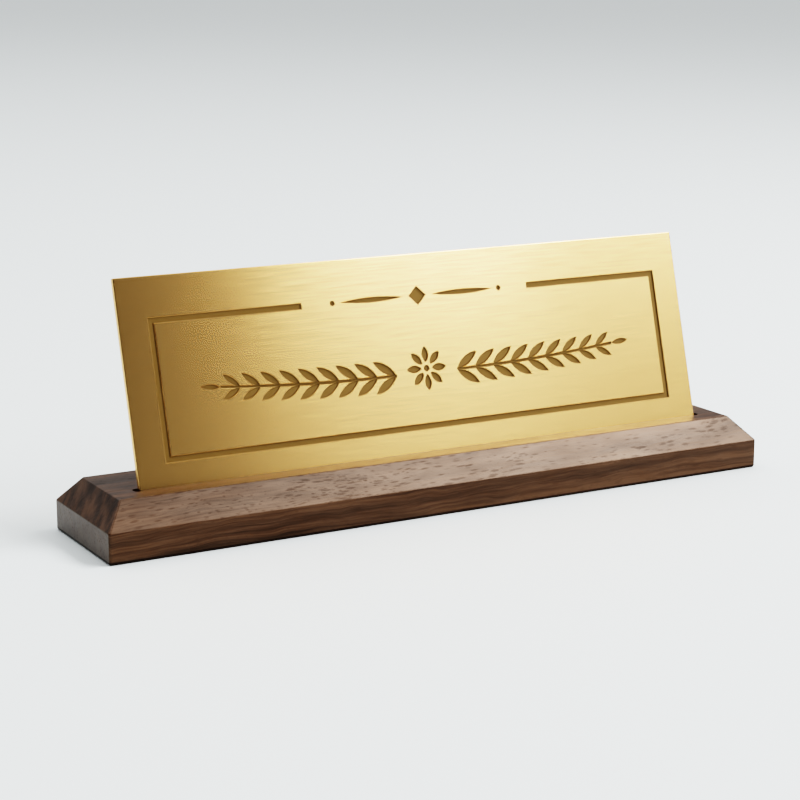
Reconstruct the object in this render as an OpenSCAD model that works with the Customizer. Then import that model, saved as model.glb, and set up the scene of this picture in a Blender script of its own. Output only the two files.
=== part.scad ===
// Desk nameplate: a brushed brass plate that leans back in a slot along a bevelled walnut base.
// Millimetres, +Z up. The origin is the middle of the base's underside, and the plate faces -Y.

/* [Base] */
// Length of the base, left to right
base_l = 254; // [245:1:320]
// Depth of the base, front to back
base_d = 48; // [44:0.5:70]
// Height of the base
base_h = 18.6; // [17:0.1:30]
// Height of the upright sides, below the bevels
side_h = 10.3; // [6:0.1:13]
// How far the front bevel runs back
bevel_front = 8.2; // [4:0.1:9]
// How far the back bevel runs forward
bevel_back = 7.1; // [4:0.1:12]
// How far each end bevel runs in
bevel_end = 7.1; // [4:0.1:8]
// Radius of the base's eased edges
base_ease = 0.9; // [0.4:0.1:1.5]

/* [Plate] */
// Length of the plate, left to right
plate_l = 220.2; // [214:0.1:224]
// Height of the plate above the base, measured up its own slope
plate_h = 68.5; // [64:0.5:90]
// Thickness of the plate
plate_t = 2; // [1.5:0.1:3]
// Lean of the plate, back from upright
lean = 15.5; // [5:0.5:20]
// Where the plate's front face crosses the base's top, forward of the middle
plate_forward = 8.4; // [4:0.1:10]
// Radius of the plate's eased edges
plate_ease = 0.35; // [0.2:0.05:0.6]

/* [Slot] */
// How far the slot runs past each end of the plate
slot_over = 2; // [1.2:0.1:3]
// Diameter of the round hole at each end of the slot
slot_end_d = 3.6; // [2.8:0.1:4.5]
// Depth of the slot, measured down its own slope
slot_depth = 10.5; // [7:0.5:12]
// Gap between the plate and each wall of the slot, and under the plate
slot_gap = 0.15; // [0.1:0.05:0.4]

/* [Engraving] */
// Depth of everything that is engraved
engrave_depth = 0.6; // [0.3:0.05:0.9]
// How far each engraved wall leans in, from the face down to the floor
wall_run = 0.45; // [0.2:0.05:0.45]
// Width of the border line
border_w = 2.3; // [1.6:0.1:4]
// Border line's distance from the plate's left and right edges
border_side = 10; // [6:0.5:16]
// Border line's distance from the plate's top edge
border_top = 13.5; // [10:0.5:16]
// Border line's distance from the base's top, up the slope
border_bottom = 7.4; // [4:0.1:10]
// Length of the gap in the border's top run
border_gap = 89.2; // [60:0.1:110]

/* [Ornament] */
// Height of the ornament's middle line in the field above the base's top, up the slope
field_mid = 28.5; // [24:0.5:34]
// Pairs of leaves on each laurel sprig
leaf_pairs = 9; // [5:1:10]
// Distance from one pair of leaves to the next, along the stem
leaf_pitch = 7.3; // [6:0.1:8]
// Length of the longest leaf
leaf_l = 10.4; // [8:0.1:12]
// Width of the longest leaf
leaf_w = 3.1; // [2:0.1:3.4]
// Angle between a leaf and its stem
leaf_angle = 33; // [25:1:40]
// How much shorter and narrower the leaf at the tip is, as a share of the longest
leaf_shrink = 0.3; // [0:0.05:0.3]
// Width of the stem
stem_w = 1.2; // [1.1:0.1:1.6]
// How much a sprig's tip rises above its foot
sprig_rise = 3; // [0.5:0.5:6]
// Distance from the middle to a sprig's foot
sprig_start = 12; // [11:0.5:16]
// Petals of the rosette between the sprigs
petals = 8; // [5:1:9]
// Length of a petal
petal_l = 5.8; // [4:0.1:6.5]
// Width of a petal
petal_w = 2.7; // [2:0.1:3.2]
// Distance from the rosette's middle to a petal's foot
petal_start = 2; // [1.6:0.1:2.6]
// Width of the dot in the rosette's middle
eye_d = 2.4; // [1.6:0.1:2.8]
// Width of the lozenge in the border's gap, from point to point
lozenge_w = 7; // [5:0.1:9]
// Length of the tapered bar on each side of the lozenge
bar_l = 25; // [12:0.5:28]
// Width of a tapered bar at its middle
bar_w = 2; // [1.5:0.1:3]
// Distance from the lozenge to each bar
bar_gap = 2; // [1:0.1:3]
// Width of the dot beyond each bar
dot_d = 2; // [1.5:0.1:3]
// Distance from a bar's end to the middle of its dot
dot_gap = 2.5; // [2:0.1:4]

/* [Hidden] */
$fa = 1;
$fs = 0.4;
// How far a cutter stands out of the face that it cuts
clear = 0.2;
// Facets round a ball that eases an edge
ease_fn = 32;

// A ball with a point at each pole, so that a hull of balls keeps its full height
module ball(r) {
    rotate_extrude($fn = ease_fn)
        intersection() {
            circle(r, $fn = ease_fn);
            translate([0, -r])
                square([r, 2 * r]);
        }
}

// How far in from a ridge a ball's centre lies, where the two faces turn through 45 degrees
function ridge_in(r) = r * tan(22.5);

// A solid with flat faces and eased edges. Each corner is where its ball's centre goes
module eased(corners, r) {
    hull()
        for (c = corners)
            translate(c)
                ball(r);
}

// Puts its children on the plate: X along it, Y up its slope from the base's top, Z out of its front face
module on_plate() {
    translate([0, -plate_forward, base_h])
        rotate([90 - lean, 0, 0])
            children();
}

module base() {
    color("#6e4a38")
        difference() {
            base_block();
            slot();
        }
}

module base_block() {
    r = base_ease;
    side_x = base_l / 2 - r;
    side_y = base_d / 2 - r;
    top_x = base_l / 2 - bevel_end - ridge_in(r);
    top_front = -base_d / 2 + bevel_front + ridge_in(r);
    top_back = base_d / 2 - bevel_back - ridge_in(r);
    eased(concat(
        [for (x = [-side_x, side_x], y = [-side_y, side_y], z = [r, side_h - ridge_in(r)]) [x, y, z]],
        [for (x = [-top_x, top_x], y = [top_front, top_back]) [x, y, base_h - r]]), r);
}

// A narrow cut that ends in a round hole on each side
module slot() {
    slot_t = plate_t + 2 * slot_gap;
    end_d = max(slot_end_d, slot_t);
    run = plate_l + 2 * slot_over - end_d;
    height = slot_depth + end_d;
    on_plate()
        translate([0, -slot_depth, -plate_t / 2])
            rotate([-90, 0, 0]) {
                translate([-run / 2, -slot_t / 2, 0])
                    cube([run, slot_t, height]);
                for (side = [-1, 1])
                    translate([side * run / 2, 0, 0])
                        cylinder(h = height, d = end_d);
            }
}

module plate() {
    color("#c9a75c")
        difference() {
            on_plate()
                plate_blank();
            on_plate() {
                border();
                gap_ornament();
                field_ornament();
            }
        }
}

module plate_blank() {
    r = plate_ease;
    eased([for (x = [-plate_l / 2 + r, plate_l / 2 - r],
                y = [-slot_depth + slot_gap + r, plate_h - r],
                z = [-plate_t + r, -r]) [x, y, z]], r);
}

// A rectangle that is engrave_depth deep. It measures size at the face,
// and more by spread on each side at the floor
module sunk(size, spread) {
    floor_size = [size.x + 2 * spread, size.y + 2 * spread];
    out = spread * clear / engrave_depth;
    top_size = [size.x - 2 * out, size.y - 2 * out];
    translate([0, 0, -engrave_depth])
        linear_extrude(
            height = engrave_depth + clear,
            scale = [top_size.x / floor_size.x, top_size.y / floor_size.y])
            square(floor_size, center = true);
}

// The border line: a sunk rectangle, less the field inside it and the stretch that the gap leaves whole
module border() {
    outer = [plate_l - 2 * border_side, plate_h - border_top - border_bottom];
    field = [outer.x - 2 * border_w, outer.y - 2 * border_w];
    middle = border_bottom + outer.y / 2;
    translate([0, middle, 0])
        difference() {
            sunk(outer, -wall_run);
            sunk(field, wall_run);
            translate([0, outer.y / 2, 0])
                sunk([border_gap, 3 * border_w], wall_run);
        }
}

// A sunk leaf, petal or tapered bar: two arcs that meet in a point at each end, along X from the origin
module sunk_leaf(l, w) {
    r = (l * l + w * w) / (4 * w);
    high = r + wall_run * clear / engrave_depth;
    translate([l / 2, 0, -engrave_depth])
        intersection_for (side = [-1, 1])
            translate([0, side * (r - w / 2), 0])
                cylinder(h = engrave_depth + clear, r1 = r - wall_run, r2 = high);
}

module sunk_dot(d) {
    low = d / 2 - wall_run;
    high = d / 2 + wall_run * clear / engrave_depth;
    translate([0, 0, -engrave_depth])
        cylinder(h = engrave_depth + clear, r1 = low, r2 = high);
}

// A lozenge between two tapered bars, each with a dot at its far end, in line with the border's top run
module gap_ornament() {
    side = lozenge_w / sqrt(2);
    bar_x = lozenge_w / 2 + bar_gap;
    translate([0, plate_h - border_top - border_w / 2, 0]) {
        rotate(45)
            sunk([side, side], -wall_run);
        for (turn = [0, 180])
            rotate(turn) {
                translate([bar_x, 0, 0])
                    sunk_leaf(bar_l, bar_w);
                translate([bar_x + bar_l + dot_gap, 0, 0])
                    sunk_dot(dot_d);
            }
    }
}

// A rosette between two mirrored laurel sprigs
module field_ornament() {
    translate([0, field_mid, 0]) {
        rosette();
        for (side = [0, 1])
            mirror([side, 0, 0])
                sprig();
    }
}

module rosette() {
    sunk_dot(eye_d);
    for (i = [0 : petals - 1])
        rotate(90 + i * 360 / petals)
            translate([petal_start, 0, 0])
                sunk_leaf(petal_l, petal_w);
}

// A stem that curves up along an arc, with pairs of leaves that shrink towards one last leaf at its tip
module sprig() {
    stem_l = leaf_pairs * leaf_pitch;
    stem_r = (stem_l * stem_l + sprig_rise * sprig_rise) / (2 * sprig_rise);
    degrees = 180 / PI / stem_r;
    translate([sprig_start, stem_r - sprig_rise / 2, 0]) {
        rotate(-90)
            rotate_extrude(angle = stem_l * degrees)
                translate([stem_r, 0])
                    sunk_profile(stem_w);
        for (i = [0 : leaf_pairs]) {
            size = 1 - leaf_shrink * pow(i / leaf_pairs, 2);
            rotate(i * leaf_pitch * degrees)
                translate([0, -stem_r, 0])
                    for (turn = i < leaf_pairs ? [-leaf_angle, leaf_angle] : [0])
                        rotate(turn)
                            sunk_leaf(size * leaf_l, size * leaf_w);
        }
    }
}

// Half-widths and depths of a sunk line, across the line
module sunk_profile(w) {
    low = w / 2 - wall_run;
    high = w / 2 + wall_run * clear / engrave_depth;
    polygon([[-low, -engrave_depth], [low, -engrave_depth], [high, clear], [-high, clear]]);
}

base();
plate();
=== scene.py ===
"""A desk nameplate: a brushed brass plate that leans back in a slot along a bevelled walnut base."""
from math import cos, radians, sin

import bpy
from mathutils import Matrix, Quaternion, Vector

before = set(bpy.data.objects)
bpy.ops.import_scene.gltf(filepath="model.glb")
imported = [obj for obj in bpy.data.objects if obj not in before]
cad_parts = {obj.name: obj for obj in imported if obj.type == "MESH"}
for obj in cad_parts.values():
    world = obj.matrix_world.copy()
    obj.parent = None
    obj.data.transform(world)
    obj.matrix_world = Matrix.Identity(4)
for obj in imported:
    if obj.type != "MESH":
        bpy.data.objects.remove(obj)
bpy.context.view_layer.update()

MM = 0.001

# The plate's place in the frame
LEAN = radians(15.5)
PLATE_FOOT = Vector((0, -8.4, 18.6)) * MM

# The photograph's camera
CAMERA_AT = Vector((-346.1, -599.9, 189.9)) * MM
CAMERA_AZIMUTH = radians(-29.25)
CAMERA_ELEVATION = radians(12.64)
CAMERA_LENS = 92.05
CAMERA_SENSOR = 36


# Node helpers

def new_material(name):
    """A material with an empty node tree, and that tree."""
    material = bpy.data.materials.new(name)
    material.use_nodes = True
    material.node_tree.nodes.clear()
    return material, material.node_tree


def give(tree, socket, value):
    """Sets an input to a value, or links it to an output socket."""
    if isinstance(value, bpy.types.NodeSocket):
        tree.links.new(value, socket)
    else:
        socket.default_value = value


def add(tree, kind, inputs=None, **settings):
    """Adds a node. Each input is a value, or an output socket to link."""
    node = tree.nodes.new(kind)
    for name, value in settings.items():
        setattr(node, name, value)
    for name, value in (inputs or {}).items():
        give(tree, node.inputs[name], value)
    return node


def calc(tree, operation, a, b):
    """The result socket of a Math node."""
    return add(tree, "ShaderNodeMath", {0: a, 1: b}, operation=operation).outputs[0]


def product(tree, first, *others):
    """Values multiplied together."""
    for other in others:
        first = calc(tree, "MULTIPLY", first, other)
    return first


def weighted_sum(tree, *shares):
    """The sum of values, each multiplied by its own weight."""
    total = product(tree, *shares[0])
    for share in shares[1:]:
        total = calc(tree, "ADD", total, product(tree, *share))
    return total


def greatest(tree, first, *others):
    """The greatest of several values."""
    for other in others:
        first = calc(tree, "MAXIMUM", first, other)
    return first


def remap(tree, value, low, high, to_low=0.0, to_high=1.0, smooth=False):
    """Maps a value from one range to another, and holds it there."""
    kind = "SMOOTHSTEP" if smooth else "LINEAR"
    return add(tree, "ShaderNodeMapRange", {0: value, 1: low, 2: high, 3: to_low, 4: to_high},
               interpolation_type=kind, clamp=True).outputs[0]


def mix(tree, factor, a, b, blend="MIX"):
    """The result socket of a colour Mix node."""
    node = add(tree, "ShaderNodeMix", data_type="RGBA", blend_type=blend)
    for index, value in ((0, factor), (6, a), (7, b)):
        give(tree, node.inputs[index], value)
    return node.outputs[2]


def shade(tree, colour, tone):
    """A colour multiplied by a tone."""
    grey = add(tree, "ShaderNodeCombineColor", {0: tone, 1: tone, 2: tone}).outputs[0]
    return mix(tree, 1.0, colour, grey, "MULTIPLY")


def stretched(tree, coordinates, cell):
    """Coordinates in which one unit is a cell of this size, given in the coordinates' own unit."""
    return add(tree, "ShaderNodeMapping", {"Vector": coordinates, "Scale": [1 / c for c in cell]}).outputs[0]


def noise(tree, coordinates, cell, detail=2.0, roughness=0.5):
    """Smooth noise from 0 to 1, in cells of a given size."""
    return add(tree, "ShaderNodeTexNoise", {
        "Vector": stretched(tree, coordinates, cell), "Scale": 1.0,
        "Detail": detail, "Roughness": roughness}).outputs[0]


def object_mm(tree, at=(0, 0, 0), turn=0.0):
    """Coordinates fixed to the object, in millimetres from a point, turned about X."""
    place = add(tree, "ShaderNodeTexCoord").outputs["Object"]
    return add(tree, "ShaderNodeMapping", {
        "Vector": place, "Location": at, "Rotation": (turn, 0, 0), "Scale": (MM, MM, MM)},
        vector_type="TEXTURE").outputs[0]


def finish_surface(tree, inputs):
    """Adds the material's shader and its output."""
    surface = add(tree, "ShaderNodeBsdfPrincipled", inputs)
    add(tree, "ShaderNodeOutputMaterial", {"Surface": surface.outputs[0]})


# Brass

BRASS = (0.92, 0.525, 0.18, 1)
BRASS_ENGRAVED = (0.15, 0.083, 0.02, 1)
FACE_TONES = (0.77, 1.13)
FACE_ROUGHNESS = (0.215, 0.185)
FACE_ANISOTROPY = 0.85
FACE_SHINE = 0.5
FACE_METALLIC = 1.0
ENGRAVED_TONES = (0.88, 1.08)
ENGRAVED_ROUGHNESS = 0.55
ENGRAVED_SHINE = 0.1
ENGRAVED_METALLIC = 0.25

# Brushing leaves hairlines at three widths: the cell in millimetres, the noise's detail, and the share
HAIRLINES = [
    ((13.0, 0.5, 0.5), 0.0, 0.45),
    ((20.0, 0.95, 0.95), 1.0, 0.4),
    ((60.0, 2.5, 2.5), 2.0, 0.15)]
GRAIN = (0.25, 0.25, 0.25)
GRAIN_HEIGHT = 0.002 * MM
GRAIN_STRENGTH = 0.25

# Where the engraved finish starts and where it is full, in millimetres: out from the face, across from
# the plate's middle, and up from the base. All the engraving lies within these
BELOW_FACE = (-0.08, -0.3)
ABOVE_BACK = (-1.0, -0.8)
BETWEEN_ENDS = (104.0, 103.5)
ABOVE_BOTTOM = (4.0, 4.5)
BELOW_TOP = (62.0, 61.5)


def brass():
    material, tree = new_material("brushed_brass")
    place = object_mm(tree, PLATE_FOOT, radians(90) - LEAN)
    engraved = engraved_share(tree, place)

    hairlines = brushed_hairlines(tree, place)
    grain = noise(tree, place, GRAIN)
    face = shade(tree, BRASS, remap(tree, hairlines, 0.35, 0.65, *FACE_TONES))
    floor = shade(tree, BRASS_ENGRAVED, remap(tree, grain, 0.3, 0.7, *ENGRAVED_TONES))

    face_roughness = remap(tree, hairlines, 0.3, 0.7, *FACE_ROUGHNESS)
    roughness = add(tree, "ShaderNodeMix", {0: engraved, 2: face_roughness, 3: ENGRAVED_ROUGHNESS},
                    data_type="FLOAT").outputs[0]
    bump = add(tree, "ShaderNodeBump", {
        "Strength": GRAIN_STRENGTH, "Distance": GRAIN_HEIGHT, "Height": product(tree, grain, engraved)})
    finish_surface(tree, {
        "Base Color": mix(tree, engraved, face, floor),
        "Metallic": remap(tree, engraved, 0.0, 1.0, FACE_METALLIC, ENGRAVED_METALLIC),
        "Specular IOR Level": remap(tree, engraved, 0.0, 1.0, FACE_SHINE, ENGRAVED_SHINE),
        "Roughness": roughness,
        "Anisotropic": FACE_ANISOTROPY,
        "Anisotropic Rotation": 0.0,
        "Tangent": add(tree, "ShaderNodeTangent", direction_type="RADIAL", axis="X").outputs[0],
        "Normal": bump.outputs[0]})
    return material


def engraved_share(tree, place):
    """1 where the plate is engraved, and 0 elsewhere."""
    across, up, out = add(tree, "ShaderNodeSeparateXYZ", {0: place}).outputs
    from_middle = calc(tree, "ABSOLUTE", across, 0.0)
    return product(
        tree,
        remap(tree, out, *BELOW_FACE),
        remap(tree, out, *ABOVE_BACK),
        remap(tree, from_middle, *BETWEEN_ENDS),
        remap(tree, up, *ABOVE_BOTTOM),
        remap(tree, up, *BELOW_TOP))


def brushed_hairlines(tree, place):
    """Noise that is long along the plate and narrow across it."""
    return weighted_sum(tree, *[
        (noise(tree, place, cell, detail=detail), share) for cell, detail, share in HAIRLINES])


# Walnut

WALNUT_DARK = (0.013, 0.005, 0.0021, 1)
WALNUT_MID = (0.039, 0.0175, 0.0088, 1)
WALNUT_LIGHT = (0.083, 0.0405, 0.021, 1)
WALNUT_END = (0.03, 0.017, 0.01, 1)
WALNUT_PORE = (0.014, 0.006, 0.0033, 1)
# Painted shade: a near-black colour along the base's lower edge, standing in for the shadow where the base
# meets the floor
PAINTED_CONTACT_SHADE = (0.006, 0.003, 0.002, 1)
WALNUT_SHEEN = (1, 0.7, 0.51, 1)
WALNUT_IOR = 1.45
WALNUT_ROUGHNESS = (0.3, 0.42)
TOP_EXTRA_ROUGHNESS = 0.15
FIBRE_SHINE = (0.4, 0.6)
PATCH_SHINE = (0.8, 1.15)

# The rings lie flat on the front bevel, and the grain runs a little off the base's length
RINGS_TURN = (radians(-45), radians(1.2), radians(-2.5))

# The grain drifts in two ways: a cell, and how far it drifts, in millimetres
SWEEP = (110.0, 45.0, 45.0)
SWEEP_REACH = 4.0
CURL = (16.0, 7.0, 7.0)
CURL_REACH = 0.6

# Cells of the figure, in millimetres along the grain and across it
BANDS = (170.0, 9.0, 2.6)
FIBRES = (24.0, 0.7, 0.6)
PATCHES = (18.0, 4.0, 4.0)

# The pores' cells and those of their crowds, and how large a pore grows, as a share of its cell
LONG_PORES = (5.5, 1.1, 1.1)
LONG_PORE_CROWDS = (30.0, 7.0, 7.0)
LONG_PORE_SIZE = 0.34
SHORT_PORES = (2.8, 1.1, 1.1)
SHORT_PORE_CROWDS = (34.0, 18.0, 18.0)
SHORT_PORE_SIZE = 0.26
LEAST_PORE_SIZE = 0.06
PORE_BLUR = 0.14
PORE_DEPTH = 0.1 * MM
PORE_STRENGTH = 0.15

# How strongly the pores, the ends and the painted shade along the lower edge take their colour
PORE_TINT = 0.2
END_TINT = 0.75
CONTACT_SHADE_TINT = 0.85

# How much less the pores, the end bevels, the upright faces and the painted shade along the lower edge shine
PORE_DULL = 0.58
END_BEVEL_DULL = 0.54
UPRIGHT_DULL = 0.42
CONTACT_SHADE_DULL = 0.9

# The painted shade along the lower edge fades out between these heights, in millimetres
CONTACT_SHADE_TOP = (0.85, 1.3)


def walnut():
    material, tree = new_material("oiled_walnut")
    grain = wandering_grain(tree)
    fibres = noise(tree, grain, FIBRES, detail=4.0, roughness=0.65)
    pores = pore_share(tree, grain, fibres)
    end, end_bevel, upright, top = facing_shares(tree)
    height_mm = add(tree, "ShaderNodeSeparateXYZ", {0: object_mm(tree)}).outputs[2]
    # Painted shade: the lower edge is darkened and dulled to stand in for the contact shadow at the floor
    contact_shade = remap(tree, height_mm, *CONTACT_SHADE_TOP, 1.0, 0.0, smooth=True)

    colour = mix(tree, product(tree, pores, PORE_TINT), wood_figure(tree, grain, fibres), WALNUT_PORE)
    colour = mix(tree, product(tree, end, END_TINT), colour, WALNUT_END)
    colour = mix(tree, product(tree, contact_shade, CONTACT_SHADE_TINT), colour, PAINTED_CONTACT_SHADE)

    roughness = calc(tree, "ADD", remap(tree, fibres, 0.3, 0.7, *WALNUT_ROUGHNESS),
                     product(tree, top, TOP_EXTRA_ROUGHNESS))
    patches = noise(tree, grain, PATCHES)
    sheen = product(tree, remap(tree, fibres, 0.3, 0.7, *FIBRE_SHINE),
                    remap(tree, patches, 0.35, 0.65, *PATCH_SHINE))
    dull = greatest(tree, product(tree, pores, PORE_DULL), product(tree, end_bevel, END_BEVEL_DULL),
                    product(tree, upright, UPRIGHT_DULL), product(tree, contact_shade, CONTACT_SHADE_DULL))
    gloss = product(tree, sheen, calc(tree, "SUBTRACT", 1.0, dull))

    height = calc(tree, "SUBTRACT", product(tree, fibres, 0.3), pores)
    bump = add(tree, "ShaderNodeBump", {
        "Strength": PORE_STRENGTH, "Distance": PORE_DEPTH, "Height": height})
    finish_surface(tree, {
        "Base Color": colour,
        "Roughness": roughness,
        "IOR": WALNUT_IOR,
        "Specular IOR Level": gloss,
        "Specular Tint": WALNUT_SHEEN,
        "Normal": bump.outputs[0]})
    return material


def wandering_grain(tree):
    """Coordinates along the grain, which sweeps and curls."""
    place = add(tree, "ShaderNodeMapping", {"Vector": object_mm(tree), "Rotation": RINGS_TURN}).outputs[0]
    sweep = remap(tree, noise(tree, place, SWEEP, detail=0.0), 0.25, 0.75, -SWEEP_REACH, SWEEP_REACH)
    curl = remap(tree, noise(tree, place, CURL, detail=1.0), 0.25, 0.75, -CURL_REACH, CURL_REACH)
    drift = calc(tree, "ADD", sweep, curl)
    offset = add(tree, "ShaderNodeCombineXYZ", {1: drift, 2: product(tree, drift, 0.6)}).outputs[0]
    return add(tree, "ShaderNodeVectorMath", {0: place, 1: offset}, operation="ADD").outputs[0]


def wood_figure(tree, grain, fibres):
    """Dark and light bands with fibres in them."""
    bands = noise(tree, grain, BANDS)
    ramp = add(tree, "ShaderNodeValToRGB", {0: weighted_sum(tree, (bands, 0.68), (fibres, 0.32))})
    dark, light = ramp.color_ramp.elements
    dark.position = 0.38
    dark.color = WALNUT_DARK
    light.position = 0.62
    light.color = WALNUT_LIGHT
    ramp.color_ramp.elements.new(0.49).color = WALNUT_MID
    return ramp.outputs[0]


def pore_share(tree, grain, fibres):
    """Pores are short dashes along the grain, in two lengths. Both come in crowds."""
    long_crowd = noise(tree, grain, LONG_PORE_CROWDS, detail=1.0)
    short_crowd = noise(tree, grain, SHORT_PORE_CROWDS, detail=0.0)
    dashes = greatest(tree, flecks(tree, grain, LONG_PORES, long_crowd, LONG_PORE_SIZE),
                      flecks(tree, grain, SHORT_PORES, short_crowd, SHORT_PORE_SIZE))
    return product(tree, dashes, remap(tree, fibres, 0.3, 0.6, 0.45, 1.0))


def flecks(tree, grain, cell, crowd, size):
    """Small soft marks, one to a cell at most, that grow with the crowd value."""
    cells = add(tree, "ShaderNodeTexVoronoi", {
        "Vector": stretched(tree, grain, cell), "Scale": 1.0, "Randomness": 1.0})
    reach = remap(tree, crowd, 0.32, 0.6, LEAST_PORE_SIZE, size)
    past = calc(tree, "SUBTRACT", cells.outputs["Distance"], reach)
    return remap(tree, past, -PORE_BLUR, PORE_BLUR, 1.0, 0.0, smooth=True)


def facing_shares(tree):
    """How far a face is an end, an end bevel, an upright front or back, or the top."""
    normal = add(tree, "ShaderNodeTexCoord").outputs["Normal"]
    x, y, z = add(tree, "ShaderNodeSeparateXYZ", {0: normal}).outputs
    sideways = calc(tree, "ABSOLUTE", x, 0.0)
    end = remap(tree, sideways, 0.8, 0.97)
    end_bevel = calc(tree, "SUBTRACT", remap(tree, sideways, 0.4, 0.65), end)
    upright = remap(tree, calc(tree, "ABSOLUTE", y, 0.0), 0.85, 0.97)
    top = remap(tree, z, 0.85, 0.97)
    return end, end_bevel, upright, top


# Pieces

def dress(name, material):
    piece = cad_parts[name]
    for slot in piece.material_slots:
        slot.material = material
    return piece


def smooth_edges(piece):
    """Joins the facets of the eased edges and shades them as one, while the flat faces stay flat."""
    weld = piece.modifiers.new("join_facets", "WELD")
    weld.merge_threshold = 0.001 * MM
    split = piece.modifiers.new("keep_sharp_edges", "EDGE_SPLIT")
    split.split_angle = radians(35)
    piece.modifiers.new("even_shading", "WEIGHTED_NORMAL")


dress("plate", brass())
smooth_edges(dress("base", walnut()))


# Stage

FLOOR_COLOUR = (0.885, 0.955, 0.965, 1)
FLOOR_ROUGHNESS = 0.6
FLOOR_SIZE = 30

# Every softbox faces this point
LIGHTS_AIM = Vector((0, 0, 0.04))

# The sky glows from above, from above and behind, and from the right.
# A glow is a direction, the cosines where it starts and is full, and a strength
SKY_GLOWS = [
    ((0, 0, 1), 0.3, 0.95, 0.53),
    ((0, 1, 1), 0.5, 0.98, 0.69),
    ((1, 0.1, 0.3), 0.3, 0.95, 0.4)]


def pale_floor():
    material, tree = new_material("pale_floor")
    finish_surface(tree, {"Base Color": FLOOR_COLOUR, "Roughness": FLOOR_ROUGHNESS})
    bpy.ops.mesh.primitive_plane_add(size=FLOOR_SIZE, location=(0, 0, 0))
    floor = bpy.context.object
    floor.name = "floor"
    floor.data.materials.append(material)


def studio_sky(glows):
    """A plain sky that is the sum of soft glows."""
    world = bpy.data.worlds.new("studio")
    world.use_nodes = True
    tree = world.node_tree
    tree.nodes.clear()
    direction = add(tree, "ShaderNodeTexCoord").outputs["Generated"]
    light = 0.0
    for towards, start, full, strength in glows:
        side = add(tree, "ShaderNodeVectorMath", {0: direction, 1: Vector(towards).normalized()},
                   operation="DOT_PRODUCT").outputs["Value"]
        glow = product(tree, remap(tree, side, start, full, smooth=True), strength)
        light = calc(tree, "ADD", glow, light)
    background = add(tree, "ShaderNodeBackground", {"Color": light})
    add(tree, "ShaderNodeOutputWorld", {0: background.outputs[0]})
    bpy.context.scene.world = world


def softbox(name, azimuth, elevation, distance, size, power, roll=0):
    """A soft light that faces the nameplate. Azimuth 0 is straight in front, and 90 to the reader's right."""
    data = bpy.data.lights.new(name, "AREA")
    data.shape = "RECTANGLE"
    data.size, data.size_y = size
    data.energy = power
    light = bpy.data.objects.new(name, data)
    bpy.context.scene.collection.objects.link(light)
    a, e = radians(azimuth), radians(elevation)
    direction = Vector((sin(a) * cos(e), -cos(a) * cos(e), sin(e)))
    light.location = LIGHTS_AIM + direction * distance
    aim = direction.to_track_quat("Z", "Y") @ Quaternion((0, 0, 1), radians(roll))
    light.rotation_euler = aim.to_euler()


def photo_camera():
    data = bpy.data.cameras.new("photo_camera")
    data.lens = CAMERA_LENS
    data.sensor_width = CAMERA_SENSOR
    data.clip_end = 100
    camera = bpy.data.objects.new("photo_camera", data)
    bpy.context.scene.collection.objects.link(camera)
    camera.location = CAMERA_AT
    camera.rotation_euler = (radians(90) - CAMERA_ELEVATION, 0, CAMERA_AZIMUTH)
    bpy.context.scene.camera = camera


pale_floor()
studio_sky(SKY_GLOWS)

# The brushing smears reflections up and down the plate. The rolls line the softboxes' edges up with it
softbox("key", azimuth=35, elevation=32.6, distance=1.8, size=(0.32, 0.73), power=4.6, roll=-21)
softbox("fill", azimuth=43.5, elevation=32.6, distance=1.8, size=(0.56, 0.67), power=11.5, roll=-28)
softbox("high_key", azimuth=68, elevation=52, distance=1.8, size=(0.58, 0.79), power=29.5, roll=-64)
softbox("back", azimuth=-160, elevation=62, distance=3.2, size=(2.2, 2.2), power=28)
photo_camera()
bpy.context.scene.view_settings.view_transform = "Filmic"
bpy.context.scene.view_settings.look = "High Contrast"
